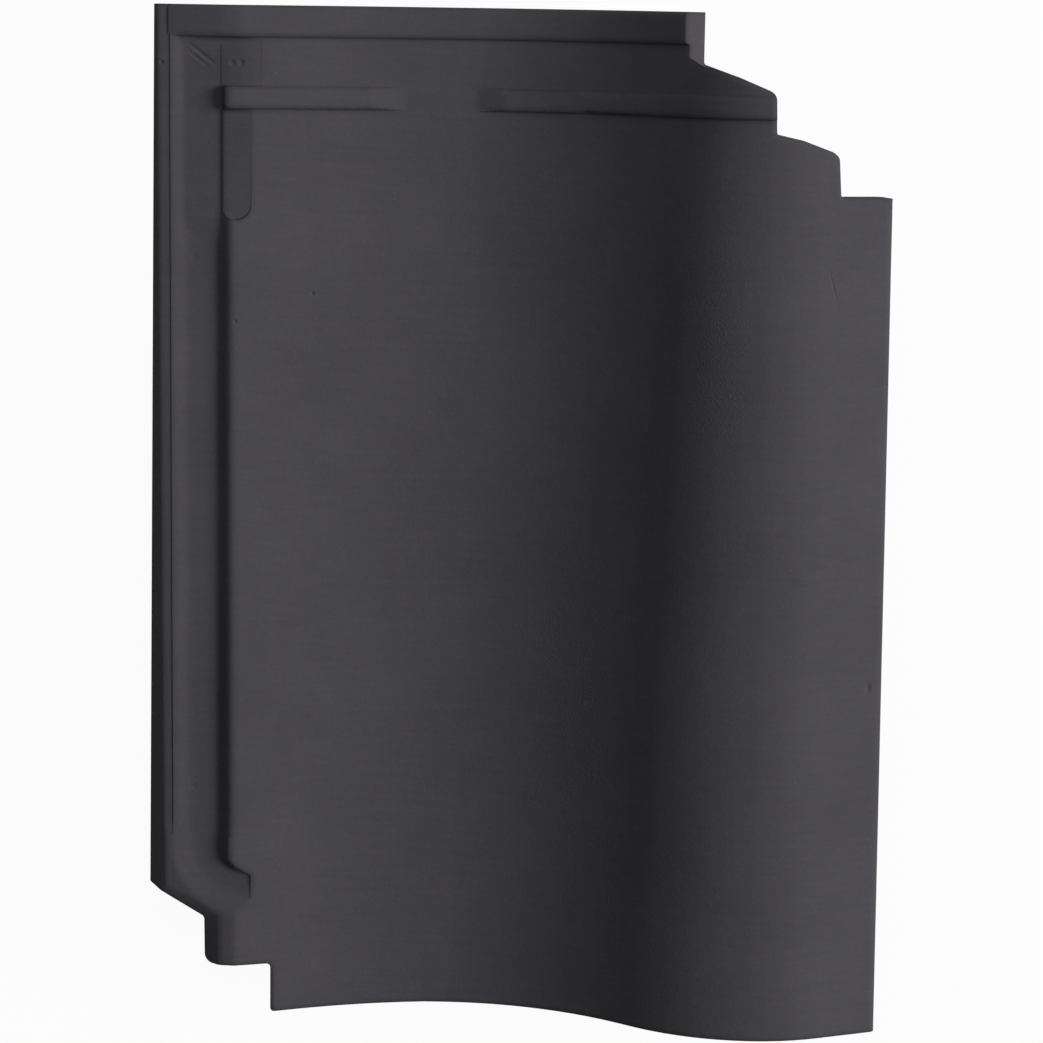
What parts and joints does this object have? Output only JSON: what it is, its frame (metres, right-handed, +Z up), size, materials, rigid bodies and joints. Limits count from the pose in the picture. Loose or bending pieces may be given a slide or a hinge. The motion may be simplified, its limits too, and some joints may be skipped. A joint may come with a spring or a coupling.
{
  "type": "interlocking clay roof tile",
  "caption": "Interlocking clay pantile with a hollow pan and a roll, a side water channel, a ribbed head lock, stepped corners and batten nibs below.",
  "frame": {"origin": "centre of the footprint on the floor that the tile lies on", "axes": "+X across the tile toward the roll, +Y along the tile toward its head, +Z up out of the weather face"},
  "size_m": [0.2648, 0.365, 0.0638],
  "materials": {
    "engobed_clay": "matt slate-black engobe on fired clay"
  },
  "bodies": {
    "root": {"roof_tile": "engobed_clay"}
  },
  "joints": []
}
